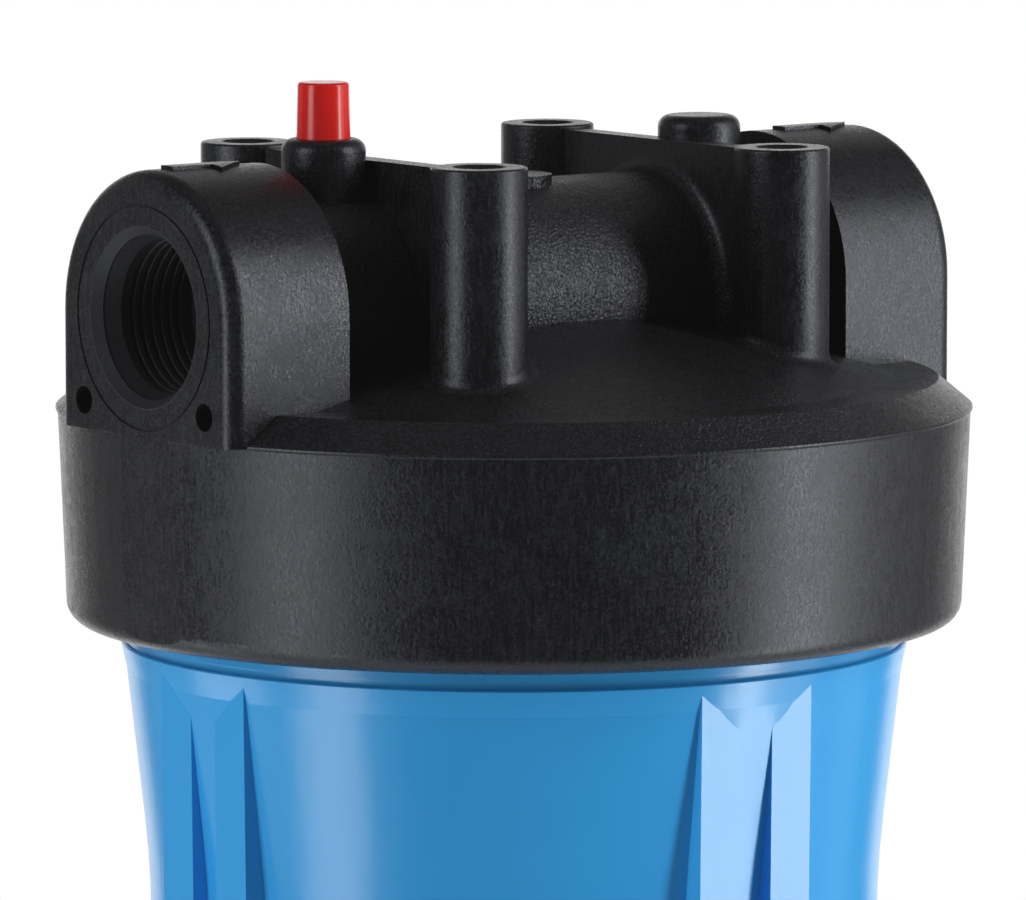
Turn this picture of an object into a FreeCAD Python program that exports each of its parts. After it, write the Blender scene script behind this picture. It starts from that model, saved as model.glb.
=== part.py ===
"""Cartridge filter housing for whole-house water, the big 10-inch size, with 1-inch pipe ports.

Frame: origin at the centre of the sump's base, +Z up along the housing's axis, +X from the
inlet port to the outlet port. All lengths are millimetres and all angles are degrees.
"""
import FreeCAD
import Part
import Sketcher

import math
import os
import re

from FreeCAD import Vector

# ---------------------------------------------------------------- driving dimensions

DIMENSIONS = {
    # collar and dome of the head
    "collar_top_z": 266.0,
    "collar_height": 43.0,
    "collar_radius": 92.0,
    "collar_rim_radius": 90.0,
    "collar_rim_round": 4.0,
    "collar_lip": 0.4,
    "bevel_radius": 85.2,
    "bevel_height": 5.6,
    "shelf_radius": 76.0,
    "dome_apex": 22.2,
    "dome_round": 700.0,
    "dome_wall": 6.5,
    "cavity_rise": 1.9,
    "cavity_radius": 69.0,
    "seat_drop": 2.0,
    # ports, which share one axis above the collar
    "port_height": 22.9,
    "port_face_x": 91.3,
    "flat_width": 60.0,
    "flat_reach": 4.0,
    "flat_rise": 1.5,
    "block_inner_x": 62.6,
    "block_radius": 28.75,
    "block_drop": 0.5,
    "block_round": 3.4,
    "thread_bore": 15.0,
    "pipe_thread_major": 16.6,
    "pipe_thread_pitch": 2.209,
    "pipe_thread_end": 22.4,
    "pipe_thread_turns": 6.6,
    "pipe_thread_mouth": 0.31,
    "pipe_thread_root": 0.12,
    "pipe_thread_lead": 0.2,
    "pipe_thread_overlap": 0.4,
    "port_lip_radius": 17.8,
    "port_lip_depth": 1.9,
    "port_lead_radius": 16.2,
    "port_lead_depth": 2.3,
    "port_lead_slope": 3.1,
    "witness_radius": 22.0,
    "witness_width": 0.5,
    "witness_depth": 0.35,
    "passage_radius": 13.8,
    "divider_inlet_x": 25.0,
    "divider_outlet_x": 14.0,
    "inlet_drop_shift": 3.0,
    "inlet_drop_depth": 6.0,
    "face_hole_spread": 40.2,
    "face_hole_radius": 2.75,
    "face_hole_drop": 17.8,
    "face_hole_depth": 14.0,
    # central tube, cross ribs and bosses on the dome
    "tube_radius": 22.2,
    "tube_root_round": 3.0,
    "nub_radius": 7.6,
    "nub_height": 46.2,
    "rib_x": 38.0,
    "rib_thickness": 5.0,
    "rib_height": 51.4,
    "boss_spread": 76.2,
    "boss_radius": 9.55,
    "boss_height": 52.2,
    "boss_foot": 8.0,
    "boss_hole_radius": 4.3,
    "boss_hole_depth": 28.0,
    "boss_hole_chamfer": 1.1,
    "boss_root_round": 2.5,
    "boss_edge_round": 0.6,
    "button_boss_x": 47.5,
    "button_boss_radius": 8.4,
    "button_boss_foot": 42.0,
    "button_boss_height": 55.8,
    "button_boss_round": 2.5,
    # raised arrow on each port's arch
    "arrow_foot": 46.0,
    "arrow_length": 8.0,
    "arrow_tail": 8.5,
    "arrow_neck": 1.0,
    "arrow_tip": 9.0,
    "arrow_head_half": 5.2,
    "arrow_shaft_half": 2.0,
    "arrow_relief": 0.7,
    "arrow_arc": 60.0,
    # nozzle inside the head that seals on the cartridge, and the edges that bite into its gaskets
    "nozzle_outer": 19.5,
    "nozzle_bore": 13.0,
    "nozzle_edge": 17.0,
    "nozzle_core": 3.0,
    "nozzle_taper": 4.0,
    "seal_edge_half": 0.4,
    "seal_edge_gap": 0.1,
    "seal_edge_slope": 3.0,
    # coarse thread between the head and the sump
    "screw_pitch": 8.0,
    "screw_turns": 3.25,
    "head_root": 82.6,
    "head_crest": 80.0,
    "head_thread_z": 227.2,
    "sump_root": 79.4,
    "sump_crest": 82.0,
    "ridge_base": 4.3,
    "ridge_tip": 2.5,
    "ridge_sunk_share": 0.2,
    # sump
    "sump_rim_z": 263.2,
    "sump_bore": 68.5,
    "sump_floor_bore": 67.0,
    "neck_radius": 77.7,
    "neck_top_z": 228.0,
    "neck_bottom_z": 220.2,
    "neck_slope": 3.0,
    "ring_z": 218.8,
    "ring_radius": 79.1,
    "ring_edge": 0.3,
    "shoulder_radius": 78.0,
    "shoulder_drop": 5.4,
    "cone_radius": 73.3,
    "cone_drop": 46.4,
    "flare_reach": 10.0,
    "flare_round": 175.0,
    "neck_round": 1.6,
    "base_radius": 71.6,
    "base_round": 15.0,
    "floor_thickness": 5.2,
    "floor_round": 10.0,
    "foot_inner": 44.0,
    "foot_recess": 1.6,
    "sump_rib_reach": 77.5,
    "sump_rib_foot": 75.2,
    "sump_rib_width": 9.75,
    "sump_rib_gap": 7.9,
    "sump_rib_bottom": 17.0,
    "sump_rib_nose": 2.6,
    "sump_rib_nose_rise": 6.0,
    "sump_rib_top_drop": 0.8,
    "sump_rib_sunk": 1.8,
    # sealing ring between the sump and the head
    "seal_centre": 75.4,
    "seal_section": 2.66,
    "seal_side_gap": 0.25,
    "seal_end_gap": 0.12,
    "seal_top_gap": 0.1,
    # cartridge, 4.5 inches by 9.75 inches
    "cartridge_z": 9.0,
    "cartridge_length": 248.0,
    "cartridge_radius": 57.0,
    "cartridge_bore": 14.3,
    "gasket_thickness": 3.0,
    "gasket_radius": 25.0,
    "cap_thickness": 5.0,
    "cap_skirt": 6.0,
    "cap_skirt_wall": 0.9,
    "core_radius": 17.0,
    "pleat_root": 18.0,
    "pleat_tip": 53.0,
    "pleat_count": 60.0,
    "media_thickness": 0.55,
    "net_thickness": 0.6,
    "layer_gap": 0.1,
    "cage_wall": 1.2,
    # pressure relief valve in the inlet side of the head
    "button_foot_z": 317.6,
    "button_base_z": 322.2,
    "button_top_z": 332.9,
    "button_radius": 5.35,
    "button_tip_radius": 5.05,
    "button_edge_round": 0.7,
    "button_draft": 0.05,
    "button_socket_z": 327.0,
    "stem_radius": 1.5,
    "stem_groove_radius": 1.1,
    "stem_bore": 2.2,
    "stem_end_gap": 0.3,
    "stem_washer_gap": 0.15,
    "recess_radius": 5.6,
    "recess_floor_z": 309.5,
    "valve_seat_z": 305.0,
    "valve_seat_radius": 5.4,
    "valve_disc_radius": 4.6,
    "valve_disc_z": 300.9,
    "valve_disc_thickness": 1.6,
    "valve_disc_bevel": 0.5,
    "valve_seal_centre": 3.0,
    "valve_seal_section": 1.2,
    "washer_thickness": 0.5,
    "washer_radius": 4.7,
    "clip_radius": 3.3,
    "clip_thickness": 0.6,
    "clip_gap": 0.03,
    "clip_mouth_share": 0.8,
    "spring_radius": 3.8,
    "spring_wire": 0.35,
    "spring_turns": 5.0,
    "spring_end_gap": 0.02,
    # how far a cut runs past the surface it opens
    "cut_past": 1.0,
}

doc = FreeCAD.newDocument("filter_housing")
sheet = doc.addObject("Spreadsheet::Sheet", "dims")
for row, (alias, amount) in enumerate(DIMENSIONS.items(), start=1):
    sheet.set(f"A{row}", alias)
    sheet.set(f"B{row}", str(amount))
    sheet.setAlias(f"B{row}", alias)
doc.recompute()


# ---------------------------------------------------------------- helpers

def bound(text):
    """The expression for a formula written with the sheet's aliases."""
    return re.sub(r"[a-z_]{3,}", lambda word: f"dims.{word[0]}" if word[0] in DIMENSIONS else word[0],
                  str(text))


def size(text):
    """The number that a formula written with the sheet's aliases comes to."""
    answer = sheet.evalExpression(str(text))
    return float(getattr(answer, "Value", answer))


def new_body(label):
    body = doc.addObject("PartDesign::Body", label)
    body.Label = label
    return body


def new_sketch(body, name, role, offset="0"):
    """A sketch on one of the body's own origin planes, moved along the plane's normal by offset."""
    sketch = body.newObject("Sketcher::SketchObject", name)
    plane = next(item for item in body.Origin.OriginFeatures if item.Role == role)
    sketch.AttachmentSupport = [(plane, "")]
    sketch.MapMode = "FlatFace"
    if offset != "0":
        sketch.setExpression("AttachmentOffset.Base.z", bound(offset))
    return sketch


def pin_point(sketch, geometry, end, across, up):
    """Hold one point of a sketch at a place worked out from the sheet."""
    for kind, axis, text in (("DistanceX", -2, across), ("DistanceY", -1, up)):
        if abs(size(text)) < 1e-9:
            sketch.addConstraint(Sketcher.Constraint("PointOnObject", geometry, end, axis))
        else:
            index = sketch.addConstraint(Sketcher.Constraint(kind, -1, 1, geometry, end, size(text)))
            sketch.setExpression(f"Constraints[{index}]", bound(text))


def add_arc(sketch, start, end, radius):
    """An arc that turns left from start to end, or right where radius is negative."""
    chord = end - start
    rise = math.sqrt(max(radius * radius - chord.Length ** 2 / 4, 0.0))
    left = Vector(-chord.y, chord.x, 0).normalize()
    centre = (start + end) * 0.5 + left * math.copysign(rise, radius)
    first, last = (start, end) if radius > 0 else (end, start)
    angles = [math.atan2(point.y - centre.y, point.x - centre.x) for point in (first, last)]
    if angles[1] < angles[0]:
        angles[1] += 2 * math.pi
    circle = Part.Circle(centre, Vector(0, 0, 1), abs(radius))
    return sketch.addGeometry(Part.ArcOfCircle(circle, *angles), False)


def is_half_circle(arc):
    """Whether an arc's two ends alone fix its radius, so that a radius constraint would be one too many."""
    return abs((arc.EndPoint - arc.StartPoint).Length - 2 * arc.Radius) < 1e-6


def add_outline(sketch, corners):
    """A closed outline. A corner is (across, up), or (across, up, radius) if an arc leaves it."""
    points = [Vector(size(corner[0]), size(corner[1]), 0) for corner in corners]
    ends = []
    for index, corner in enumerate(corners):
        start, end = points[index], points[(index + 1) % len(points)]
        if len(corner) == 3:
            radius = size(corner[2])
            ends.append((add_arc(sketch, start, end, radius), 1 if radius > 0 else 2))
        else:
            ends.append((sketch.addGeometry(Part.LineSegment(start, end), False), 1))
    for index, (geometry, first) in enumerate(ends):
        following, first_of_next = ends[(index + 1) % len(ends)]
        sketch.addConstraint(Sketcher.Constraint("Coincident", geometry, 3 - first, following, first_of_next))
    for (geometry, first), corner in zip(ends, corners):
        pin_point(sketch, geometry, first, corner[0], corner[1])
        half_circle = len(corner) == 3 and is_half_circle(sketch.Geometry[geometry])
        if len(corner) == 3 and not half_circle:
            index = sketch.addConstraint(Sketcher.Constraint("Radius", geometry, abs(size(corner[2]))))
            sketch.setExpression(f"Constraints[{index}]", bound(f"abs({corner[2]})"))


def add_circle(sketch, across, up, radius):
    centre = Vector(size(across), size(up), 0)
    geometry = sketch.addGeometry(Part.Circle(centre, Vector(0, 0, 1), size(radius)), False)
    pin_point(sketch, geometry, 3, across, up)
    index = sketch.addConstraint(Sketcher.Constraint("Radius", geometry, size(radius)))
    sketch.setExpression(f"Constraints[{index}]", bound(radius))


def rectangle(left, bottom, right, top):
    return [(left, bottom), (right, bottom), (right, top), (left, top)]


def add_feature(body, kind, name, sketch, **settings):
    """A PartDesign feature. A setting given as text is a formula of the sheet's aliases."""
    feature = body.newObject(f"PartDesign::{kind}", name)
    feature.Profile = sketch
    sketch.Visibility = False
    for key, setting in settings.items():
        if isinstance(setting, str) and key not in ("SideType", "Type", "Mode"):
            feature.setExpression(key, bound(setting))
        else:
            setattr(feature, key, setting)
    return feature


def turn(body, name, corners):
    """Revolve an outline whose corners are (radius, height) about the body's Z axis."""
    sketch = new_sketch(body, f"{name}_profile", "XZ_Plane")
    add_outline(sketch, corners)
    return add_feature(body, "Revolution", name, sketch, ReferenceAxis=(sketch, ["V_Axis"]), Angle=360)


def turned_part(label, corners):
    """A sub-part that is one revolved outline."""
    body = new_body(label)
    turn(body, f"{label}_turned", corners)
    return body


def torus_part(label, centre_radius, section_radius, height):
    """A sealing ring of round section lying flat at a height."""
    ring = doc.addObject("Part::Torus", label)
    ring.Label = label
    ring.setExpression("Radius1", bound(centre_radius))
    ring.setExpression("Radius2", bound(section_radius))
    ring.setExpression("Placement.Base.z", bound(height))
    return ring


def edges_where(feature, test):
    """The names of a feature's edges that pass a test."""
    doc.recompute()
    return [f"Edge{number}" for number, edge in enumerate(feature.Shape.Edges, start=1)
            if not edge.Degenerated and test(edge)]


def round_edges(body, name, feature, test, radius):
    edges = edges_where(feature, test)
    if not edges:
        raise RuntimeError(f"{name}: no edge to round")
    fillet = body.newObject("PartDesign::Fillet", name)
    fillet.Base = (feature, edges)
    fillet.setExpression("Radius", bound(radius))
    doc.recompute()
    return fillet


def is_circle_edge(edge, radius, height=None, tolerance=0.05):
    """Whether an edge is an arc of this radius about a vertical axis, at this height if one is given."""
    curve = edge.Curve
    if not isinstance(curve, Part.Circle) or abs(curve.Radius - radius) > tolerance:
        return False
    level = abs(curve.Axis.z) > 0.999
    return level and (height is None or abs(curve.Center.z - height) < tolerance)


def screw_ridge(body, name, root, crest, start, turns):
    """A helical ridge between a root radius and a crest radius, sunk a little into the wall at its root."""
    sketch = new_sketch(body, f"{name}_profile", "XZ_Plane")
    sunk = f"{root} + ({root} - {crest}) * ridge_sunk_share"
    add_outline(sketch, [
        (sunk, f"{start} - ridge_base / 2"),
        (sunk, f"{start} + ridge_base / 2"),
        (crest, f"{start} + ridge_tip / 2"),
        (crest, f"{start} - ridge_tip / 2"),
    ])
    return add_feature(body, "AdditiveHelix", name, sketch, ReferenceAxis=(sketch, ["V_Axis"]),
                       Mode="pitch-turns-angle", Pitch="screw_pitch", Turns=turns)


# ---------------------------------------------------------------- head

PORT_Z = "collar_top_z + port_height"
SIDES = {"inlet": -1, "outlet": 1}
AXIS_REACH = 150.0


def port_axis(sketch):
    """A construction line along the ports' common axis."""
    ends = [Vector(side * AXIS_REACH, size(PORT_Z), 0) for side in (-1, 1)]
    axis = sketch.addGeometry(Part.LineSegment(*ends), True)
    sketch.addConstraint(Sketcher.Constraint("Horizontal", axis))
    pin_point(sketch, axis, 1, str(-AXIS_REACH), PORT_Z)
    sketch.addConstraint(Sketcher.Constraint("DistanceX", axis, 1, axis, 2, 2 * AXIS_REACH))
    return "Axis0"


def head_shell(body):
    """Collar, bevel, shelf and dome, with the bell-shaped hollow that takes the sump."""
    rim = "collar_top_z - collar_height"
    shelf = "collar_top_z + bevel_height"
    turn(body, "shell", [
        ("head_root", rim),
        ("collar_rim_radius - collar_rim_round", rim, "collar_rim_round"),
        ("collar_rim_radius", f"{rim} + collar_rim_round"),
        ("collar_radius - collar_lip", "collar_top_z - 2 * collar_lip"),
        ("collar_radius", "collar_top_z - collar_lip"),
        ("collar_radius", "collar_top_z"),
        ("bevel_radius", shelf),
        ("shelf_radius", shelf, "dome_round"),
        ("0", "collar_top_z + dome_apex"),
        ("0", "collar_top_z + dome_apex - dome_wall", "-dome_round"),
        ("cavity_radius", f"{shelf} - dome_wall + cavity_rise"),
        ("cavity_radius", "collar_top_z - seat_drop"),
        ("head_root", "collar_top_z - seat_drop"),
    ])


def head_collar_flats(body, side, sign):
    """The flat under each port, which carries the port's face down the tapering collar."""
    taper = "(collar_radius - collar_rim_radius)"
    outside = f"{sign} * (port_face_x + flat_reach)"
    sketch = new_sketch(body, f"{side}_flat_profile", "XZ_Plane")
    add_outline(sketch, [
        (f"{sign} * port_face_x", "collar_top_z + flat_rise"),
        (f"{sign} * port_face_x", "collar_top_z"),
        (f"{sign} * (port_face_x - {taper})", "collar_top_z - collar_height"),
        (outside, "collar_top_z - collar_height"),
        (outside, "collar_top_z + flat_rise"),
    ])
    return add_feature(body, "Pocket", f"{side}_flat", sketch, SideType="Symmetric", Length="flat_width")


def head_port_block(body, side, sign):
    """The arched block round each port and the tube that joins it to the rib."""
    outer = new_sketch(body, f"{side}_block_profile", "YZ_Plane", f"{sign} * block_inner_x")
    add_outline(outer, [
        ("block_radius", "collar_top_z - block_drop"),
        ("block_radius", PORT_Z, "block_radius"),
        ("-block_radius", PORT_Z),
        ("-block_radius", "collar_top_z - block_drop"),
    ])
    add_feature(body, "Pad", f"{side}_block", outer, Length="port_face_x - block_inner_x", Reversed=sign < 0)
    inner = new_sketch(body, f"{side}_socket_profile", "XZ_Plane")
    add_outline(inner, [
        (f"{sign} * rib_x", PORT_Z),
        (f"{sign} * (block_inner_x + cut_past)", PORT_Z),
        (f"{sign} * (block_inner_x + cut_past)", f"{PORT_Z} + tube_radius"),
        (f"{sign} * rib_x", f"{PORT_Z} + tube_radius"),
    ])
    return add_feature(body, "Revolution", f"{side}_socket", inner, ReferenceAxis=(inner, [port_axis(inner)]),
                       Angle=360)


def head_rib(body, side, sign):
    """The cross rib that joins two bracket bosses."""
    sketch = new_sketch(body, f"{side}_rib_profile", "XY_Plane", "collar_top_z + boss_foot")
    near, far = "rib_x - rib_thickness / 2", "rib_x + rib_thickness / 2"
    reach = "boss_spread / 2 - boss_radius / 3"
    add_outline(sketch, rectangle(f"{sign} * ({near})", f"-({reach})", f"{sign} * ({far})", reach))
    return add_feature(body, "Pad", f"{side}_rib", sketch, Length="rib_height - boss_foot")


def head_bracket_bosses(body):
    """Four bosses for a bracket's screws, with rounded roots on the dome and softened tops."""
    sketch = new_sketch(body, "bracket_boss_profile", "XY_Plane", "collar_top_z + boss_foot")
    for across in ("-boss_spread / 2", "boss_spread / 2"):
        for up in ("-boss_spread / 2", "boss_spread / 2"):
            add_circle(sketch, across, up, "boss_radius")
    add_feature(body, "Pad", "bracket_boss", sketch, Length="boss_height - boss_foot")
    for side, sign in SIDES.items():
        bosses = head_rib(body, side, sign)
    rounded = round_edges(body, "boss_root", bosses, is_boss_root_edge, "boss_root_round")
    top = size("collar_top_z + boss_height")
    return round_edges(body, "boss_edge", rounded, lambda edge: is_circle_edge(edge, size("boss_radius"), top),
                       "boss_edge_round")


def head_passage_bosses(body):
    """The short boss that holds the relief valve over the inlet, and its blank twin over the outlet."""
    sketch = new_sketch(body, "button_boss_profile", "XY_Plane", "collar_top_z + button_boss_foot")
    for across in ("-button_boss_x", "button_boss_x"):
        add_circle(sketch, across, "0", "button_boss_radius")
    bosses = add_feature(body, "Pad", "button_boss", sketch, Length="button_boss_height - button_boss_foot")
    top = size("collar_top_z + button_boss_height")
    return round_edges(body, "button_boss_edge", bosses,
                       lambda edge: is_circle_edge(edge, size("button_boss_radius"), top), "button_boss_round")


def head_tube(body):
    """The tube between the ribs, flared where it meets them, and the small disc on its top."""
    flare = "tube_radius + tube_root_round"
    inner_face = "rib_x - rib_thickness / 2"
    sketch = new_sketch(body, "tube_profile", "XZ_Plane")
    add_outline(sketch, [
        (f"-({inner_face})", PORT_Z),
        (inner_face, PORT_Z),
        (inner_face, f"{PORT_Z} + {flare}", "-tube_root_round"),
        (f"{inner_face} - tube_root_round", f"{PORT_Z} + tube_radius"),
        (f"-({inner_face} - tube_root_round)", f"{PORT_Z} + tube_radius", "-tube_root_round"),
        (f"-({inner_face})", f"{PORT_Z} + {flare}"),
    ])
    add_feature(body, "Revolution", "tube", sketch, ReferenceAxis=(sketch, [port_axis(sketch)]), Angle=360)
    nub = new_sketch(body, "nub_profile", "XY_Plane", "collar_top_z + tube_radius")
    add_circle(nub, "0", "0", "nub_radius")
    return add_feature(body, "Pad", "nub", nub, Length="nub_height - tube_radius")


def head_nozzle(body):
    """The spigot that hangs in the bell and bears on the cartridge's top gasket."""
    tip = "cartridge_z + cartridge_length + seal_edge_gap"
    turn(body, "nozzle", [
        ("nozzle_bore - nozzle_core", PORT_Z),
        ("nozzle_bore - nozzle_core", f"{tip} + nozzle_taper"),
        ("nozzle_bore", f"{tip} + nozzle_taper"),
        ("nozzle_edge - seal_edge_half", tip),
        ("nozzle_edge + seal_edge_half", tip),
        ("nozzle_outer", f"{tip} + nozzle_taper"),
        ("nozzle_outer", PORT_Z),
    ])


def head_port_face_round(body, block_feature):
    """The soft edge round the arch and sides of each port's face."""
    axis_z = size(PORT_Z)
    face_x = size("port_face_x")
    block_radius = size("block_radius")

    def on_port_face_edge(edge):
        middle = edge.valueAt((edge.FirstParameter + edge.LastParameter) / 2)
        if abs(abs(middle.x) - face_x) > 0.01 or middle.z < size("collar_top_z"):
            return False
        from_axis = math.hypot(middle.y, middle.z - axis_z)
        return abs(abs(middle.y) - block_radius) < 0.01 or abs(from_axis - block_radius) < 0.01

    return round_edges(body, "port_face_round", block_feature, on_port_face_edge, "block_round")


def is_boss_root_edge(edge):
    """Whether an edge is where a bracket boss's wall meets the dome."""
    spread, radius = size("boss_spread / 2"), size("boss_radius")
    points = [edge.valueAt(edge.FirstParameter + share * (edge.LastParameter - edge.FirstParameter))
              for share in (0.1, 0.5, 0.9)]
    low, high = size("collar_top_z"), size("collar_top_z + dome_apex")
    return all(
        low < point.z < high
        and abs(math.hypot(abs(point.x) - spread, abs(point.y) - spread) - radius) < 0.05
        for point in points)


def head_passages(body):
    """The inlet way down round the cartridge and the outlet way up from its core."""
    mouth = "(port_face_x + cut_past)"
    inlet = new_sketch(body, "inlet_passage_profile", "YZ_Plane", f"-{mouth}")
    add_circle(inlet, "0", PORT_Z, "passage_radius")
    add_feature(body, "Pocket", "inlet_passage", inlet, Length=f"{mouth} - divider_inlet_x", Reversed=True)
    drop = new_sketch(body, "inlet_drop_profile", "XY_Plane", "collar_top_z - inlet_drop_depth")
    add_circle(drop, "-button_boss_x + inlet_drop_shift", "0", "nozzle_bore")
    add_feature(body, "Pocket", "inlet_drop", drop, Length="port_height + inlet_drop_depth", Reversed=True)
    outlet = new_sketch(body, "outlet_passage_profile", "YZ_Plane", mouth)
    add_circle(outlet, "0", PORT_Z, "passage_radius")
    add_feature(body, "Pocket", "outlet_passage", outlet, Length=f"{mouth} + divider_outlet_x")
    foot = "(cartridge_z + cartridge_length - cut_past)"
    rise = new_sketch(body, "outlet_rise_profile", "XY_Plane", foot)
    add_circle(rise, "0", "0", "nozzle_bore")
    return add_feature(body, "Pocket", "outlet_rise", rise, Reversed=True, Length=f"{PORT_Z} - {foot}")


def head_screw_ridge(body):
    """The coarse screw thread inside the collar, as a ridge on the bore."""
    return screw_ridge(body, "head_screw", "head_root", "head_crest", "head_thread_z", "screw_turns")


def head_port_mouth(body, side, sign):
    """Chamfered lip, plain lead-in, threaded bore and witness ring, turned about the port's axis."""
    face = "port_face_x"
    sketch = new_sketch(body, f"{side}_mouth_profile", "XZ_Plane")
    bottom = f"{face} - pipe_thread_end"
    add_outline(sketch, [
        (f"{sign} * ({bottom})", PORT_Z),
        (f"{sign} * ({face} + cut_past)", PORT_Z),
        (f"{sign} * ({face} + cut_past)", f"{PORT_Z} + port_lip_radius"),
        (f"{sign} * {face}", f"{PORT_Z} + port_lip_radius"),
        (f"{sign} * ({face} - port_lip_depth)", f"{PORT_Z} + port_lead_radius"),
        (f"{sign} * ({face} - port_lead_depth)", f"{PORT_Z} + port_lead_radius"),
        (f"{sign} * ({face} - port_lead_depth - port_lead_slope)", f"{PORT_Z} + thread_bore"),
        (f"{sign} * ({bottom})", f"{PORT_Z} + thread_bore"),
    ])
    add_feature(body, "Groove", f"{side}_mouth", sketch, ReferenceAxis=(sketch, [port_axis(sketch)]), Angle=360)
    ring = new_sketch(body, f"{side}_witness_profile", "XZ_Plane")
    add_outline(ring, rectangle(
        f"{sign} * ({face} - witness_depth)", f"{PORT_Z} + witness_radius - witness_width / 2",
        f"{sign} * ({face} + cut_past)", f"{PORT_Z} + witness_radius + witness_width / 2"))
    return add_feature(body, "Groove", f"{side}_witness", ring, ReferenceAxis=(ring, [port_axis(ring)]), Angle=360)


def head_port_thread(body, side, sign):
    """The pipe thread, cut as one helical groove from the chamfer inwards."""
    start = "port_face_x - port_lead_depth - port_lead_slope - pipe_thread_lead"
    mouth = "pipe_thread_pitch * pipe_thread_mouth"
    inside = f"{PORT_Z} + thread_bore - pipe_thread_overlap"
    sketch = new_sketch(body, f"{side}_thread_profile", "XZ_Plane")
    add_outline(sketch, [
        (f"{sign} * ({start})", inside),
        (f"{sign} * ({start} - 2 * {mouth})", inside),
        (f"{sign} * ({start} - {mouth} - pipe_thread_root)", f"{PORT_Z} + pipe_thread_major"),
        (f"{sign} * ({start} - {mouth} + pipe_thread_root)", f"{PORT_Z} + pipe_thread_major"),
    ])
    return add_feature(body, "SubtractiveHelix", f"{side}_thread", sketch,
                       ReferenceAxis=(sketch, [port_axis(sketch)]), Mode="pitch-turns-angle",
                       Pitch="pipe_thread_pitch", Turns="pipe_thread_turns", Reversed=sign > 0)


def head_holes(body):
    """Blind screw holes in the bosses and beside each port, and the relief valve's stepped bore."""
    boss_top = size("collar_top_z + boss_height")
    boss = new_sketch(body, "bracket_hole_profile", "XY_Plane", "collar_top_z + boss_height")
    for across in ("-boss_spread / 2", "boss_spread / 2"):
        for up in ("-boss_spread / 2", "boss_spread / 2"):
            add_circle(boss, across, up, "boss_hole_radius")
    holes = add_feature(body, "Pocket", "bracket_hole", boss, Length="boss_hole_depth")
    mouths = edges_where(holes, lambda edge: is_circle_edge(edge, size("boss_hole_radius"), boss_top))
    chamfer = body.newObject("PartDesign::Chamfer", "bracket_hole_chamfer")
    chamfer.Base = (holes, mouths)
    chamfer.setExpression("Size", bound("boss_hole_chamfer"))
    doc.recompute()
    for side, sign in SIDES.items():
        sketch = new_sketch(body, f"{side}_face_hole_profile", "YZ_Plane", f"{sign} * port_face_x")
        for across in ("-face_hole_spread / 2", "face_hole_spread / 2"):
            add_circle(sketch, across, f"{PORT_Z} - face_hole_drop", "face_hole_radius")
        add_feature(body, "Pocket", f"{side}_face_hole", sketch, Length="face_hole_depth", Reversed=sign < 0)
    steps = (
        ("relief_recess", "recess_radius", "recess_floor_z", "collar_top_z + button_boss_height"),
        ("relief_stem_bore", "stem_bore", "collar_top_z + port_height", "recess_floor_z + cut_past"),
        ("relief_seat", "valve_seat_radius", "collar_top_z + port_height", "valve_seat_z"),
    )
    for name, radius, bottom, top in steps:
        sketch = new_sketch(body, f"{name}_profile", "XY_Plane", top)
        add_circle(sketch, "-button_boss_x", "0", radius)
        last = add_feature(body, "Pocket", name, sketch, Length=f"{top} - ({bottom})")
    return last


def head_flow_arrow(body, side, sign):
    """A raised arrow on each arch that points the way the water flows, inlet to outlet."""
    middle = f"{sign} * (port_face_x + block_inner_x) / 2"
    sketch = new_sketch(body, f"{side}_arrow_profile", "XY_Plane", "collar_top_z + arrow_foot")
    add_outline(sketch, [
        (f"{middle} - arrow_tail", "-arrow_shaft_half"),
        (f"{middle} + arrow_neck", "-arrow_shaft_half"),
        (f"{middle} + arrow_neck", "-arrow_head_half"),
        (f"{middle} + arrow_tip", "0"),
        (f"{middle} + arrow_neck", "arrow_head_half"),
        (f"{middle} + arrow_neck", "arrow_shaft_half"),
        (f"{middle} - arrow_tail", "arrow_shaft_half"),
    ])
    add_feature(body, "Pad", f"{side}_arrow", sketch, Length="arrow_length")
    trim = new_sketch(body, f"{side}_arrow_trim_profile", "XZ_Plane")
    crown = f"{PORT_Z} + block_radius"
    add_outline(trim, rectangle(f"{sign} * (block_inner_x + cut_past)", f"{crown} + arrow_relief",
                                f"{sign} * (port_face_x + cut_past)", f"{crown} + arrow_length"))
    return add_feature(body, "Groove", f"{side}_arrow_trim", trim, ReferenceAxis=(trim, [port_axis(trim)]),
                       Angle="arrow_arc", Midplane=True)


def make_head():
    body = new_body("head")
    head_shell(body)
    head_bracket_bosses(body)
    for side, sign in SIDES.items():
        head_collar_flats(body, side, sign)
        block = head_port_block(body, side, sign)
    head_port_face_round(body, block)
    head_passage_bosses(body)
    head_tube(body)
    head_nozzle(body)
    for side, sign in SIDES.items():
        head_flow_arrow(body, side, sign)
    head_passages(body)
    for side, sign in SIDES.items():
        head_port_mouth(body, side, sign)
    head_holes(body)
    head_screw_ridge(body)
    for side, sign in SIDES.items():
        head_port_thread(body, side, sign)
    return body


# ---------------------------------------------------------------- sump and its seal

SEAT_Z = "collar_top_z - seat_drop"
SEAL_Z = f"{SEAT_Z} - seal_section - seal_top_gap"


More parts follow.
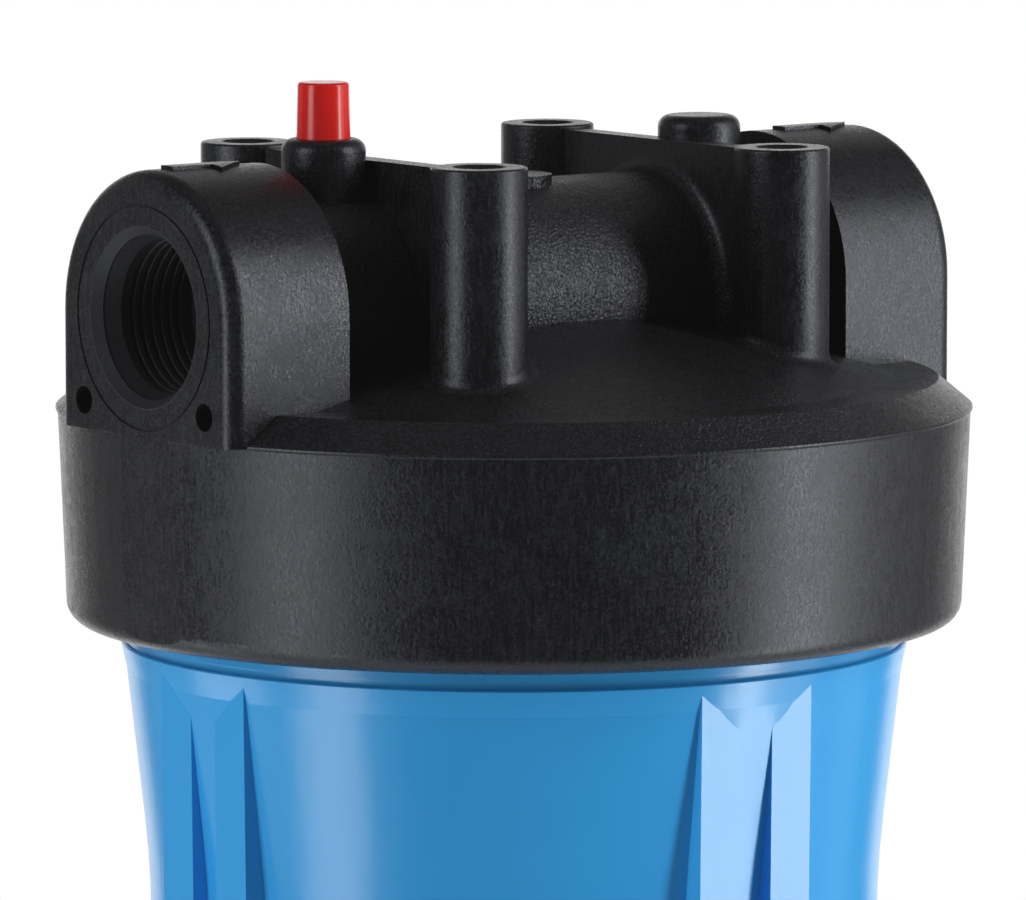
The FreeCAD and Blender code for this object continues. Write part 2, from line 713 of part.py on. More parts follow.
def sump_cup(body):
    """The cup: ringed neck, flared shoulder, long wall, rounded floor and the ring that centres the cartridge."""
    groove = "(seal_section + seal_side_gap)"
    groove_floor = f"{SEAL_Z} - seal_section - seal_end_gap"
    flare = "(shoulder_radius - cone_radius) / (cone_drop - shoulder_drop) * flare_reach"
    centring_top = "cartridge_z - seal_edge_gap"
    turn(body, "cup", [
        ("0", "foot_recess"),
        ("foot_inner", "foot_recess"),
        ("foot_inner + foot_recess", "0"),
        ("base_radius - base_round", "0", "base_round"),
        ("base_radius", "base_round"),
        ("cone_radius", "ring_z - cone_drop - flare_reach", "-flare_round"),
        (f"cone_radius + {flare}", "ring_z - cone_drop + flare_reach"),
        ("shoulder_radius", "ring_z - shoulder_drop"),
        ("ring_radius", "ring_z - ring_edge"),
        ("ring_radius - ring_edge", "ring_z"),
        ("neck_radius + ring_edge", "ring_z", "-neck_round"),
        ("neck_radius", "neck_bottom_z"),
        ("neck_radius", "neck_top_z - neck_slope"),
        ("sump_root", "neck_top_z"),
        ("sump_root", "sump_rim_z"),
        (f"seal_centre + {groove}", "sump_rim_z"),
        (f"seal_centre + {groove}", groove_floor),
        (f"seal_centre - {groove}", groove_floor),
        (f"seal_centre - {groove}", "sump_rim_z"),
        ("sump_bore", "sump_rim_z"),
        ("sump_floor_bore", "floor_thickness + floor_round", "-floor_round"),
        ("sump_floor_bore - floor_round", "floor_thickness"),
        ("nozzle_edge + seal_edge_slope", "floor_thickness"),
        ("nozzle_edge + seal_edge_half", centring_top),
        ("nozzle_edge - seal_edge_half", centring_top),
        ("nozzle_edge - seal_edge_slope", "floor_thickness"),
        ("0", "floor_thickness"),
    ])


def sump_ribs(body):
    """Four pairs of upright ribs. Each pair shares one outer plane, which runs out into the shoulder."""
    root = "sump_bore + sump_rib_sunk"
    top = "ring_z - sump_rib_top_drop"
    pads = []
    for name, offset, backwards in (("near", "sump_rib_gap / 2", False), ("far", "-sump_rib_gap / 2", True)):
        sketch = new_sketch(body, f"{name}_rib_profile", "XZ_Plane", offset)
        add_outline(sketch, [
            (root, "sump_rib_bottom"),
            ("sump_rib_foot - sump_rib_nose", "sump_rib_bottom"),
            ("sump_rib_foot", "sump_rib_bottom + sump_rib_nose_rise"),
            ("sump_rib_reach", top),
            (root, top),
        ])
        pads.append(add_feature(body, "Pad", f"{name}_rib", sketch, Length="sump_rib_width", Reversed=backwards))
    pattern = body.newObject("PartDesign::PolarPattern", "rib_pairs")
    pattern.Originals = pads
    pattern.Axis = (next(item for item in body.Origin.OriginFeatures if item.Role == "Z_Axis"), [""])
    pattern.Angle = 360
    pattern.Occurrences = 4
    body.Tip = pattern
    return pattern


def make_sump():
    body = new_body("sump")
    sump_cup(body)
    sump_ribs(body)
    screw_ridge(body, "sump_screw", "sump_root", "sump_crest", "head_thread_z + screw_pitch / 2",
                "screw_turns - 0.25")
    torus_part("sump_o_ring", "seal_centre", "seal_section", SEAL_Z)


# ---------------------------------------------------------------- pressure relief valve

def over_inlet(body):
    """Move a valve part, drawn about its own Z axis, to the valve's axis over the inlet."""
    body.setExpression("Placement.Base.x", bound("-button_boss_x"))
    return body


def make_relief_valve():
    """A sprung push button whose stem opens a small valve in the inlet passage."""
    over_inlet(turned_part("relief_button", [
        ("stem_radius", "button_foot_z"),
        ("button_radius", "button_foot_z"),
        ("button_radius", "button_base_z"),
        ("button_tip_radius + button_draft", "button_top_z - button_edge_round", "button_edge_round"),
        ("button_tip_radius - button_edge_round", "button_top_z"),
        ("0", "button_top_z"),
        ("0", "button_socket_z"),
        ("stem_radius", "button_socket_z"),
    ]))
    disc_top = "valve_disc_z + valve_disc_thickness"
    over_inlet(turned_part("relief_stem", [
        ("0", "valve_disc_z"),
        ("valve_disc_radius - valve_disc_bevel", "valve_disc_z"),
        ("valve_disc_radius", "valve_disc_z + valve_disc_bevel"),
        ("valve_disc_radius", disc_top),
        ("stem_radius", disc_top),
        ("stem_radius", "button_foot_z - clip_thickness"),
        ("stem_groove_radius", "button_foot_z - clip_thickness"),
        ("stem_groove_radius", "button_foot_z"),
        ("stem_radius", "button_foot_z"),
        ("stem_radius", "button_socket_z - stem_end_gap"),
        ("0", "button_socket_z - stem_end_gap"),
    ]))
    over_inlet(torus_part("relief_seal_ring", "valve_seal_centre", "valve_seal_section",
                          f"{disc_top} + valve_seal_section + spring_end_gap"))
    washer_top = "button_foot_z - clip_thickness"
    for label, top in (("relief_washer", washer_top),
                       ("relief_lower_washer", "recess_floor_z + washer_thickness")):
        over_inlet(turned_part(label, rectangle("stem_radius + stem_washer_gap", f"{top} - washer_thickness",
                                                "washer_radius", top)))
    make_relief_clip()
    make_relief_spring(f"{washer_top} - washer_thickness")


def make_relief_clip():
    """The open ring that snaps into the stem's groove and keeps the washer and spring on it."""
    clip = over_inlet(new_body("relief_clip"))
    turn(clip, "clip_ring", rectangle("stem_groove_radius + clip_gap", "button_foot_z - clip_thickness",
                                      "clip_radius", "button_foot_z"))
    half = "stem_groove_radius * clip_mouth_share"
    mouth = new_sketch(clip, "clip_mouth_profile", "XY_Plane", "button_foot_z + cut_past")
    add_outline(mouth, rectangle("0", f"-{half}", "clip_radius + cut_past", half))
    add_feature(clip, "Pocket", "clip_mouth", mouth, Length="clip_thickness + 2 * cut_past")


def make_relief_spring(top):
    """The compression spring between the two washers."""
    spring = over_inlet(new_body("relief_spring"))
    start = "recess_floor_z + washer_thickness + spring_wire + spring_end_gap"
    wire = new_sketch(spring, "spring_wire_profile", "XZ_Plane")
    add_circle(wire, "spring_radius", start, "spring_wire")
    coil = add_feature(spring, "AdditiveHelix", "spring_coil", wire, ReferenceAxis=(wire, ["V_Axis"]),
                       Mode="pitch-turns-angle", Turns="spring_turns")
    coil.setExpression("Pitch", bound(f"({top} - spring_wire - spring_end_gap - ({start})) / spring_turns"))


# ---------------------------------------------------------------- cartridge

LOWER_CAP_Z = "cartridge_z + gasket_thickness"
MEDIA_Z = f"{LOWER_CAP_Z} + cap_thickness"
UPPER_CAP_Z = "cartridge_z + cartridge_length - gasket_thickness - cap_thickness"
CAGE_RADIUS = "cartridge_radius - cap_skirt_wall - layer_gap"
SLOT_MARGIN = 0.12


def perforated_tube(label, inner, outer, slot_width, columns, rows):
    """A moulded tube with upright slots in columns all the way round."""
    body = new_body(label)
    turn(body, f"{label}_wall", rectangle(inner, MEDIA_Z, outer, UPPER_CAP_Z))
    span = f"({UPPER_CAP_Z} - ({MEDIA_Z}) - 2 * cap_skirt)"
    sketch = new_sketch(body, f"{label}_slot_profile", "XZ_Plane")
    for place in range(rows):
        bottom = f"{MEDIA_Z} + cap_skirt + {span} * {(place + SLOT_MARGIN) / rows:.4f}"
        top = f"{MEDIA_Z} + cap_skirt + {span} * {(place + 1 - SLOT_MARGIN) / rows:.4f}"
        add_outline(sketch, rectangle(f"-{slot_width / 2}", bottom, f"{slot_width / 2}", top))
    slots = add_feature(body, "Pocket", f"{label}_slots", sketch, Length=f"{outer} + cut_past")
    pattern = body.newObject("PartDesign::PolarPattern", f"{label}_pattern")
    pattern.Originals = [slots]
    pattern.Axis = (next(item for item in body.Origin.OriginFeatures if item.Role == "Z_Axis"), [""])
    pattern.Angle = 360
    pattern.Occurrences = columns
    body.Tip = pattern
    return body


def net_sleeve(label, inner, outer):
    """A thin sleeve of netting, drawn as a plain tube."""
    return turned_part(label, rectangle(inner, f"{MEDIA_Z} + layer_gap", outer, f"{UPPER_CAP_Z} - layer_gap"))


def make_pleated_media():
    """The filter paper: one band folded into pleats between the core and the cage."""
    count = int(size("pleat_count"))
    thickness = size("media_thickness")
    root, tip = size("pleat_root"), size("pleat_tip")
    step = 2 * math.pi / count

    def at(radius, angle):
        return Vector(radius * math.cos(angle), radius * math.sin(angle), size(f"{MEDIA_Z} + layer_gap"))

    outside, inside = [], []
    for fold in range(count):
        angle = fold * step
        outside += [at(tip, angle - thickness / tip), at(tip, angle + thickness / tip),
                    at(root + thickness, angle + step / 2)]
        inside += [at(tip - thickness, angle), at(root, angle + step / 2 - thickness / root),
                   at(root, angle + step / 2 + thickness / root)]
    faces = [Part.Face(Part.makePolygon(loop + loop[:1])) for loop in (outside, inside)]
    band = faces[0].cut(faces[1])
    media = doc.addObject("Part::Feature", "cartridge_media")
    media.Label = "cartridge_media"
    media.Shape = band.extrude(Vector(0, 0, size(f"{UPPER_CAP_Z} - ({MEDIA_Z}) - 2 * layer_gap"))).Solids[0]


def end_cap(label, inner_face, outer_face, skirt_end):
    """A disc with a flow hole and a skirt that laps over the end of the cage."""
    turned_part(label, [
        ("cartridge_bore", outer_face),
        ("cartridge_radius", outer_face),
        ("cartridge_radius", skirt_end),
        ("cartridge_radius - cap_skirt_wall", skirt_end),
        ("cartridge_radius - cap_skirt_wall", inner_face),
        ("cartridge_bore", inner_face),
    ])


def make_cartridge():
    """The replaceable pleated cartridge, which seals on a gasket at each end."""
    perforated_tube("cartridge_core", "cartridge_bore", "core_radius", slot_width=6.0, columns=6, rows=10)
    net_sleeve("cartridge_inner_net", "core_radius + layer_gap", "core_radius + net_thickness + layer_gap")
    make_pleated_media()
    net_sleeve("cartridge_outer_net", "pleat_tip + 2 * layer_gap", "pleat_tip + net_thickness + 2 * layer_gap")
    perforated_tube("cartridge_outer_cage", f"{CAGE_RADIUS} - cage_wall", CAGE_RADIUS, slot_width=17.0, columns=12,
                    rows=9)
    end_cap("cartridge_bottom_cap", MEDIA_Z, LOWER_CAP_Z, f"{MEDIA_Z} + cap_skirt")
    end_cap("cartridge_top_cap", UPPER_CAP_Z, f"{UPPER_CAP_Z} + cap_thickness", f"{UPPER_CAP_Z} - cap_skirt")
    for label, bottom in (("cartridge_bottom_gasket", "cartridge_z"),
                          ("cartridge_top_gasket", f"{UPPER_CAP_Z} + cap_thickness")):
        turned_part(label, rectangle("cartridge_bore + 2 * layer_gap", bottom, "gasket_radius",
                                     f"{bottom} + gasket_thickness"))


# ---------------------------------------------------------------- build, test and write

NODES = [
    "head", "sump", "sump_o_ring",
    "relief_button", "relief_stem", "relief_seal_ring", "relief_washer", "relief_lower_washer", "relief_clip",
    "relief_spring",
    "cartridge_core", "cartridge_inner_net", "cartridge_media", "cartridge_outer_net", "cartridge_outer_cage",
    "cartridge_bottom_cap", "cartridge_top_cap", "cartridge_bottom_gasket", "cartridge_top_gasket",
]

CUTS = ("PartDesign::Pocket", "PartDesign::Groove", "PartDesign::SubtractiveHelix")


def check_document():
    """Stop if an object failed, or if a cut removed nothing."""
    for item in doc.Objects:
        if any(word in item.State for word in ("Invalid", "Error")):
            raise RuntimeError(f"{item.Label} failed: {item.State}")
        if item.TypeId in CUTS and item.Shape.Volume > item.BaseFeature.Shape.Volume - 0.01:
            raise RuntimeError(f"{item.Label} cuts nothing")


def write_parts():
    os.makedirs("parts", exist_ok=True)
    for node in NODES:
        item = doc.getObjectsByLabel(node)[0]
        if item.Shape.isNull() or not item.Shape.isValid() or not item.Shape.Solids:
            raise RuntimeError(f"{node} has no valid solid")
        item.Shape.exportStep(f"parts/{node}.step")
        print(f"{node}: {len(item.Shape.Solids)} solid, {item.Shape.Volume / 1000:.2f} cm3")


make_head()
make_sump()
make_relief_valve()
make_cartridge()
doc.recompute()
check_document()
write_parts()
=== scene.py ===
"""Looks for a whole-house water filter housing: black head, blue sump and a pleated cartridge inside."""
import math

import bmesh
import bpy
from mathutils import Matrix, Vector

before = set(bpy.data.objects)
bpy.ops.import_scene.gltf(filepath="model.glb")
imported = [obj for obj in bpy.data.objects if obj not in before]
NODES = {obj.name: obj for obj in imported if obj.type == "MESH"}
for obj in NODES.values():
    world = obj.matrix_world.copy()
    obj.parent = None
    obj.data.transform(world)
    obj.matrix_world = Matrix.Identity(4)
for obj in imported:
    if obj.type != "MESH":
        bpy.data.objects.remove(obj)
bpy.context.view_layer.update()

# The camera of the photograph, in the row frame, in metres.
CAMERA_PLACE = Vector((-1.1578, -1.4976, 0.4772))
CAMERA_TARGET = Vector((-0.0002, 0.0001, 0.2565))
CAMERA_LENS_MM = 332.77
CAMERA_SENSOR_MM = 36.0
CAMERA_CLIP_START = 0.1
CAMERA_CLIP_END = 50.0

# Where the head's features stand, in metres. The skin is smooth up to just above the collar's top edge.
COLLAR_TOP = 0.266
COLLAR_TOP_SLACK = 0.0002
BLOCK_INNER_X = 0.0620
BLOCK_HALF_WIDTH = 0.0293
BOSS_SPREAD = 0.0381
BOSS_RADIUS = 0.0105
RIB_HALF_WIDTH = 0.0035
PORT_Z = 0.2889
PORT_MOUTH_RADIUS = 0.0180
VALVE_BOSS_X = 0.0475
VALVE_BOSS_RADIUS = 0.0100
TUBE_TOP = 0.2995

WHITE = (1.0, 1.0, 1.0, 1.0)


class Paint:
    """One material under construction: adds nodes, joins them, and gives back the sockets."""

    def __init__(self, name):
        self.material = bpy.data.materials.new(name)
        self.material.use_nodes = True
        self.tree = self.material.node_tree
        self.shader = self.tree.nodes["Principled BSDF"]
        self.place = self.node("ShaderNodeTexCoord").outputs["Object"]

    def node(self, kind, inputs=None, **settings):
        made = self.tree.nodes.new(kind)
        for key, value in settings.items():
            setattr(made, key, value)
        for key, value in (inputs or {}).items():
            if isinstance(value, bpy.types.NodeSocket):
                self.tree.links.new(value, made.inputs[key])
            else:
                made.inputs[key].default_value = value
        return made

    def set(self, **values):
        """Sets the shader's sockets: a number, a colour, or another node's output."""
        for key, value in values.items():
            socket = self.shader.inputs[key.replace("_", " ").title().replace("Ior", "IOR")]
            if isinstance(value, bpy.types.NodeSocket):
                self.tree.links.new(value, socket)
            else:
                socket.default_value = value

    def math(self, operation, first, second=0.0):
        return self.node("ShaderNodeMath", {0: first, 1: second}, operation=operation).outputs[0]

    def product(self, first, *others):
        for other in others:
            first = self.math("MULTIPLY", first, other)
        return first

    def largest(self, first, *others):
        for other in others:
            first = self.math("MAXIMUM", first, other)
        return first

    def axes(self):
        """The object's own X, Y and Z."""
        return self.node("ShaderNodeSeparateXYZ", {0: self.place}).outputs[:]

    def distance(self, x, y, centre):
        """How far the flat point x, y is from centre."""
        point = self.node("ShaderNodeCombineXYZ", {"X": x, "Y": y}).outputs[0]
        inputs = {0: point, 1: (*centre, 0.0)}
        return self.node("ShaderNodeVectorMath", inputs, operation="DISTANCE").outputs["Value"]

    def stretched(self, x, y, z):
        """The object's own coordinates, scaled along each axis."""
        inputs = {"Vector": self.place, "Scale": (x, y, z)}
        return self.node("ShaderNodeMapping", inputs).outputs["Vector"]

    def noise(self, size, detail=4.0, roughness=0.55, distortion=0.0, vector=None):
        """Noise whose features are about size metres across."""
        inputs = {
            "Vector": vector or self.place,
            "Scale": 1.0 / size,
            "Detail": detail,
            "Roughness": roughness,
            "Distortion": distortion,
        }
        return self.node("ShaderNodeTexNoise", inputs).outputs["Fac"]

    def cells(self, size, feature="F1", vector=None):
        inputs = {"Vector": vector or self.place, "Scale": 1.0 / size}
        return self.node("ShaderNodeTexVoronoi", inputs, feature=feature).outputs["Distance"]

    def spread(self, value, low, high, to_low=0.0, to_high=1.0):
        """Maps low..high to to_low..to_high and stops at both ends."""
        inputs = {"Value": value, "From Min": low, "From Max": high, "To Min": to_low, "To Max": to_high}
        return self.node("ShaderNodeMapRange", inputs).outputs["Result"]

    def blend(self, share, first, second):
        inputs = {"Fac": share, "Color1": first, "Color2": second}
        return self.node("ShaderNodeMixRGB", inputs).outputs["Color"]

    def bump(self, height, depth, below=None):
        """A bump of depth metres, laid over another bump where one is given."""
        inputs = {"Height": height, "Distance": depth, "Strength": 1.0}
        if below is not None:
            inputs["Normal"] = below
        return self.node("ShaderNodeBump", inputs).outputs["Normal"]


def colour(red, green, blue):
    return (red, green, blue, 1.0)


def grained_area(paint):
    """1 on the head's grained dome and tube, 0 on its smooth collar, port blocks, bosses and ribs."""
    x, y, z = paint.axes()
    away_x = paint.math("ABSOLUTE", x)
    away_y = paint.math("ABSOLUTE", y)
    above_collar = paint.math("GREATER_THAN", z, COLLAR_TOP + COLLAR_TOP_SLACK)
    in_block = paint.product(
        paint.math("GREATER_THAN", away_x, BLOCK_INNER_X),
        paint.math("LESS_THAN", away_y, BLOCK_HALF_WIDTH),
    )
    from_boss = paint.distance(away_x, away_y, (BOSS_SPREAD, BOSS_SPREAD))
    in_boss = paint.math("LESS_THAN", from_boss, BOSS_RADIUS)
    from_rib = paint.math("ABSOLUTE", paint.math("SUBTRACT", away_x, BOSS_SPREAD))
    in_rib = paint.product(
        paint.math("LESS_THAN", from_rib, RIB_HALF_WIDTH),
        paint.math("GREATER_THAN", z, PORT_Z),
    )
    from_valve_boss = paint.distance(away_x, away_y, (VALVE_BOSS_X, 0.0))
    in_valve_boss = paint.product(
        paint.math("LESS_THAN", from_valve_boss, VALVE_BOSS_RADIUS),
        paint.math("GREATER_THAN", z, TUBE_TOP),
    )
    smooth = paint.largest(in_block, in_boss, in_rib, in_valve_boss)
    return paint.product(above_collar, paint.math("SUBTRACT", 1.0, smooth))


def port_bores(paint):
    """1 inside the two threaded ports, 0 elsewhere."""
    x, y, z = paint.axes()
    beyond_tube = paint.math("GREATER_THAN", paint.math("ABSOLUTE", x), BLOCK_INNER_X)
    from_axis = paint.distance(y, z, (0.0, PORT_Z))
    return paint.product(beyond_tube, paint.math("LESS_THAN", from_axis, PORT_MOUTH_RADIUS))


def black_polypropylene():
    """Worn black moulding: cloudy and specked, brushed all over, pebbled on its grained parts, with
    painted light in the port bores.
    """
    paint = Paint("black_polypropylene")
    grained = grained_area(paint)
    bores = port_bores(paint)
    patches = paint.noise(0.014, detail=5.0, roughness=0.6, distortion=1.2)
    curls = paint.noise(0.0016, detail=3.0, roughness=0.65, distortion=2.5)
    mottle = paint.noise(0.00070, detail=3.0, roughness=0.7, distortion=1.0)
    upright = paint.stretched(1.0, 1.0, 0.16)
    streaks = paint.noise(0.00060, detail=3.0, roughness=0.6, distortion=0.4, vector=upright)
    leather = paint.noise(0.00062, detail=1.0, roughness=0.4, distortion=0.6)
    specks = paint.spread(paint.cells(0.0031), 0.09, 0.03)

    wear = paint.product(paint.spread(patches, 0.38, 0.66), paint.spread(curls, 0.46, 0.60))
    worn = paint.largest(wear, paint.product(specks, 0.6))
    brushed = paint.product(paint.spread(mottle, 0.40, 0.66), paint.spread(streaks, 0.38, 0.62))
    pebbles = paint.product(grained, paint.spread(leather, 0.45, 0.62))

    body = paint.blend(patches, colour(0.0036, 0.0038, 0.0042), colour(0.0056, 0.0060, 0.0068))
    rubbed = paint.blend(paint.product(worn, 0.6), body, colour(0.022, 0.023, 0.026))
    fine = paint.blend(brushed, rubbed, colour(0.026, 0.028, 0.032))
    topped = paint.blend(paint.product(pebbles, 0.6), fine, colour(0.022, 0.023, 0.025))
    # Painted light: the port bores are painted a lighter grey to stand in for light falling inside them.
    painted_light_bores = paint.blend(paint.product(bores, 0.8), topped, colour(0.026, 0.027, 0.030))

    cloudy = paint.spread(patches, 0.3, 0.7, 0.28, 0.36)
    scuffed = paint.math("ADD", cloudy, paint.product(worn, 0.05))
    skin = paint.math("ADD", scuffed, paint.spread(brushed, 0.0, 1.0, -0.07, 0.12))
    paint.set(
        base_color=painted_light_bores,
        roughness=paint.largest(skin, paint.product(bores, 0.46)),
        specular_tint=colour(0.86, 0.89, 1.0),
        ior=1.5,
    )
    texture = paint.bump(paint.product(leather, grained), 0.00032)
    moulding = paint.bump(paint.noise(0.020, detail=1.0), 0.00010, below=texture)
    paint.set(normal=paint.bump(mottle, 0.000085, below=moulding))
    return paint.material


def blue_polypropylene():
    paint = Paint("blue_polypropylene")
    clouds = paint.noise(0.022, detail=4.0, distortion=0.6)
    grit = paint.noise(0.0005, detail=2.0)
    flow = paint.noise(0.012, detail=3.0, vector=paint.stretched(1.0, 1.0, 0.18))
    paint.set(
        base_color=paint.blend(clouds, colour(0.036, 0.380, 0.840), colour(0.042, 0.410, 0.890)),
        roughness=paint.spread(grit, 0.3, 0.7, 0.20, 0.27),
        ior=1.55,
    )
    orange_peel = paint.bump(paint.noise(0.0028, detail=2.0), 0.00002)
    paint.set(normal=paint.bump(flow, 0.00012, below=orange_peel))
    return paint.material


def red_plastic():
    paint = Paint("red_plastic")
    clouds = paint.noise(0.006, detail=3.0)
    paint.set(
        base_color=paint.blend(clouds, colour(0.93, 0.016, 0.012), colour(0.99, 0.024, 0.018)),
        roughness=paint.spread(clouds, 0.3, 0.7, 0.16, 0.24),
        ior=1.5,
        normal=paint.bump(paint.noise(0.0015, detail=2.0), 0.000012),
    )
    return paint.material


def white_polypropylene():
    paint = Paint("white_polypropylene")
    clouds = paint.noise(0.012, detail=4.0)
    paint.set(
        base_color=paint.blend(clouds, colour(0.72, 0.73, 0.72), colour(0.80, 0.80, 0.78)),
        roughness=paint.spread(clouds, 0.3, 0.7, 0.35, 0.48),
        normal=paint.bump(paint.noise(0.0008, detail=3.0), 0.00002),
    )
    return paint.material


def filter_media():
    paint = Paint("filter_media")
    fibres = paint.noise(0.0006, detail=6.0, roughness=0.7, distortion=4.0)
    calender = paint.cells(0.0016, feature="DISTANCE_TO_EDGE")
    paint.set(
        base_color=paint.blend(fibres, colour(0.70, 0.69, 0.64), colour(0.88, 0.87, 0.83)),
        roughness=paint.spread(fibres, 0.2, 0.8, 0.75, 0.95),
        sheen_weight=0.3,
        normal=paint.bump(paint.math("ADD", fibres, calender), 0.0001),
    )
    return paint.material


def black_rubber():
    paint = Paint("black_rubber")
    dust = paint.noise(0.0012, detail=5.0)
    dusted = paint.spread(dust, 0.45, 0.8)
    paint.set(
        base_color=paint.blend(dusted, colour(0.011, 0.011, 0.011), colour(0.032, 0.031, 0.030)),
        roughness=paint.spread(dust, 0.3, 0.7, 0.42, 0.58),
        normal=paint.bump(dust, 0.00003),
    )
    return paint.material


def stainless_steel():
    paint = Paint("stainless_steel")
    drawn = paint.noise(0.0004, detail=4.0, vector=paint.stretched(1.0, 1.0, 6.0))
    paint.set(
        base_color=paint.blend(drawn, colour(0.50, 0.50, 0.51), colour(0.63, 0.63, 0.64)),
        metallic=1.0,
        roughness=paint.spread(drawn, 0.3, 0.7, 0.20, 0.34),
        normal=paint.bump(drawn, 0.00001),
    )
    return paint.material


FINISHES = {
    black_polypropylene: ["head"],
    blue_polypropylene: ["sump"],
    red_plastic: ["relief_button"],
    white_polypropylene: [
        "relief_stem", "cartridge_core", "cartridge_inner_net", "cartridge_outer_net",
        "cartridge_outer_cage", "cartridge_bottom_cap", "cartridge_top_cap",
    ],
    filter_media: ["cartridge_media"],
    black_rubber: [
        "sump_o_ring", "relief_seal_ring", "cartridge_bottom_gasket", "cartridge_top_gasket",
    ],
    stainless_steel: ["relief_washer", "relief_lower_washer", "relief_clip", "relief_spring"],
}


def dress(nodes):
    """Gives every CAD node its material."""
    for make, names in FINISHES.items():
        material = make()
        for name in names:
            nodes[name].data.materials.clear()
            nodes[name].data.materials.append(material)


def look_at(obj, place, target):
    obj.location = place
    obj.rotation_mode = "QUATERNION"
    obj.rotation_quaternion = (target - place).to_track_quat("-Z", "Y")


def make_camera():
    data = bpy.data.cameras.new("camera")
    data.sensor_width = CAMERA_SENSOR_MM
    data.lens = CAMERA_LENS_MM
    data.clip_start = CAMERA_CLIP_START
    data.clip_end = CAMERA_CLIP_END
    camera = bpy.data.objects.new("camera", data)
    bpy.context.scene.collection.objects.link(camera)
    look_at(camera, CAMERA_PLACE, CAMERA_TARGET)
    bpy.context.scene.camera = camera


# Softboxes: degrees round from the camera (positive to its right); distance, width, height and the
# middle's height above the ground, in metres; and brightness as a share of the white background's.
SOFTBOXES = {
    "left_box": (-56.0, 1.25, 0.46, 2.20, 0.20, 3.5),
    "right_box": (75.0, 1.25, 0.24, 2.20, 0.20, 9.4),
    "right_wing": (93.0, 1.30, 0.34, 2.20, 0.20, 1.4),
    "left_fill": (-120.0, 1.40, 0.80, 2.20, 0.20, 0.18),
    "right_fill": (118.0, 1.40, 0.50, 3.20, 0.70, 0.40),
    "low_left": (-95.0, 1.20, 0.60, 0.50, -0.45, 2.2),
    "glow_behind": (180.0, 1.60, 2.00, 1.70, -0.15, 1.1),
    "high_behind": (180.0, 1.60, 1.60, 0.80, 1.15, 0.32),
}
LIT_HEIGHT = 0.25
OVERHEAD_RISE = 1.6
OVERHEAD_SIZE = 1.2
OVERHEAD_BRIGHTNESS = 0.10

# The world's strength: for the light it sheds, and as the camera sees it.
AMBIENT = 0.075
BACKGROUND = 1.0

# The floor only throws light back up. It lies below the sump's lowest place, unscrewed.
FLOOR_RADIUS = 0.36
FLOOR_SEGMENTS = 128
FLOOR_Z = -0.030
FLOOR_GLOW = 0.40

# The glare sheet: its strength, how far before the camera it hangs, and half its width.
GLARE = 0.0034
GLARE_AHEAD = 0.30
GLARE_HALF_WIDTH = 0.12


def add_area_light(name, place, target, width, height, brightness):
    data = bpy.data.lights.new(name, "AREA")
    data.shape = "RECTANGLE"
    data.size = width
    data.size_y = height
    data.energy = brightness * math.pi * width * height
    light = bpy.data.objects.new(name, data)
    bpy.context.scene.collection.objects.link(light)
    look_at(light, place, target)
    light.visible_camera = False


def make_lights():
    towards_camera = math.atan2(CAMERA_PLACE.y, CAMERA_PLACE.x)
    for name, (turn, distance, width, height, rise, brightness) in SOFTBOXES.items():
        angle = towards_camera + math.radians(turn)
        place = Vector((distance * math.cos(angle), distance * math.sin(angle), rise))
        add_area_light(name, place, Vector((0.0, 0.0, rise)), width, height, brightness)
    middle = Vector((0.0, 0.0, LIT_HEIGHT))
    top = middle + Vector((0.0, 0.0, OVERHEAD_RISE))
    add_area_light("overhead_box", top, middle, OVERHEAD_SIZE, OVERHEAD_SIZE, OVERHEAD_BRIGHTNESS)


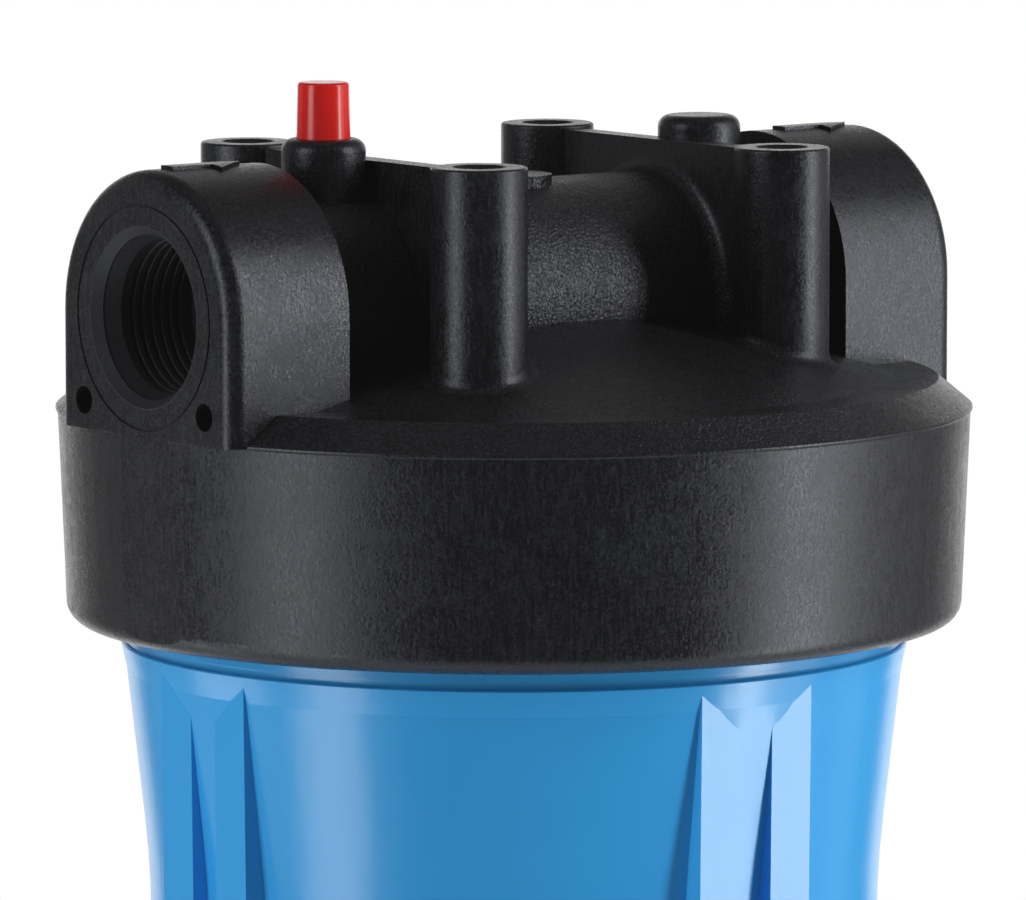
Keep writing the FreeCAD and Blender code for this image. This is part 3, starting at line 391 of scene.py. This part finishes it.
def make_world():
    """White to the camera, and a faint grey light to everything else."""
    world = bpy.data.worlds.new("studio")
    world.use_nodes = True
    tree = world.node_tree
    background = tree.nodes["Background"]
    background.inputs["Color"].default_value = WHITE
    seen = tree.nodes.new("ShaderNodeLightPath").outputs["Is Camera Ray"]
    strength = tree.nodes.new("ShaderNodeMapRange")
    strength.inputs["To Min"].default_value = AMBIENT
    strength.inputs["To Max"].default_value = BACKGROUND
    tree.links.new(seen, strength.inputs["Value"])
    tree.links.new(strength.outputs["Result"], background.inputs["Strength"])
    bpy.context.scene.world = world


def add_sheet(name, fill, **shape_settings):
    """A flat mesh of the studio, filled by one of bmesh's operators and linked to the scene."""
    mesh = bpy.data.meshes.new(name)
    shape = bmesh.new()
    fill(shape, **shape_settings)
    shape.to_mesh(mesh)
    shape.free()
    sheet = bpy.data.objects.new(name, mesh)
    bpy.context.scene.collection.objects.link(sheet)
    return sheet


def make_floor():
    """A pale glowing disc under the object, which the camera doesn't see."""
    floor = add_sheet(
        "floor", bmesh.ops.create_circle, cap_ends=True, segments=FLOOR_SEGMENTS, radius=FLOOR_RADIUS
    )
    floor.location.z = FLOOR_Z
    floor.visible_camera = False
    paint = Paint("floor")
    paint.set(
        base_color=colour(0.8, 0.8, 0.8),
        roughness=0.9,
        emission_color=WHITE,
        emission_strength=FLOOR_GLOW,
    )
    floor.data.materials.append(paint.material)


def make_glare():
    """The thin veil of light a camera's lens lays over a picture with a white background."""
    veil = add_sheet("glare", bmesh.ops.create_grid, x_segments=1, y_segments=1, size=GLARE_HALF_WIDTH)
    ahead = (CAMERA_TARGET - CAMERA_PLACE).normalized() * GLARE_AHEAD
    look_at(veil, CAMERA_PLACE + ahead, CAMERA_PLACE)
    veil.visible_diffuse = False
    veil.visible_glossy = False
    veil.visible_transmission = False
    veil.visible_shadow = False
    paint = Paint("glare")
    clear = paint.node("ShaderNodeBsdfTransparent", {"Color": WHITE})
    light = paint.node("ShaderNodeEmission", {"Color": WHITE, "Strength": GLARE})
    both = paint.node("ShaderNodeAddShader", {0: clear.outputs[0], 1: light.outputs[0]})
    output = paint.tree.nodes["Material Output"]
    paint.tree.links.new(both.outputs[0], output.inputs["Surface"])
    veil.data.materials.append(paint.material)


bpy.context.scene.view_settings.view_transform = "Standard"
dress(NODES)
make_camera()
make_lights()
make_world()
make_floor()
make_glare()
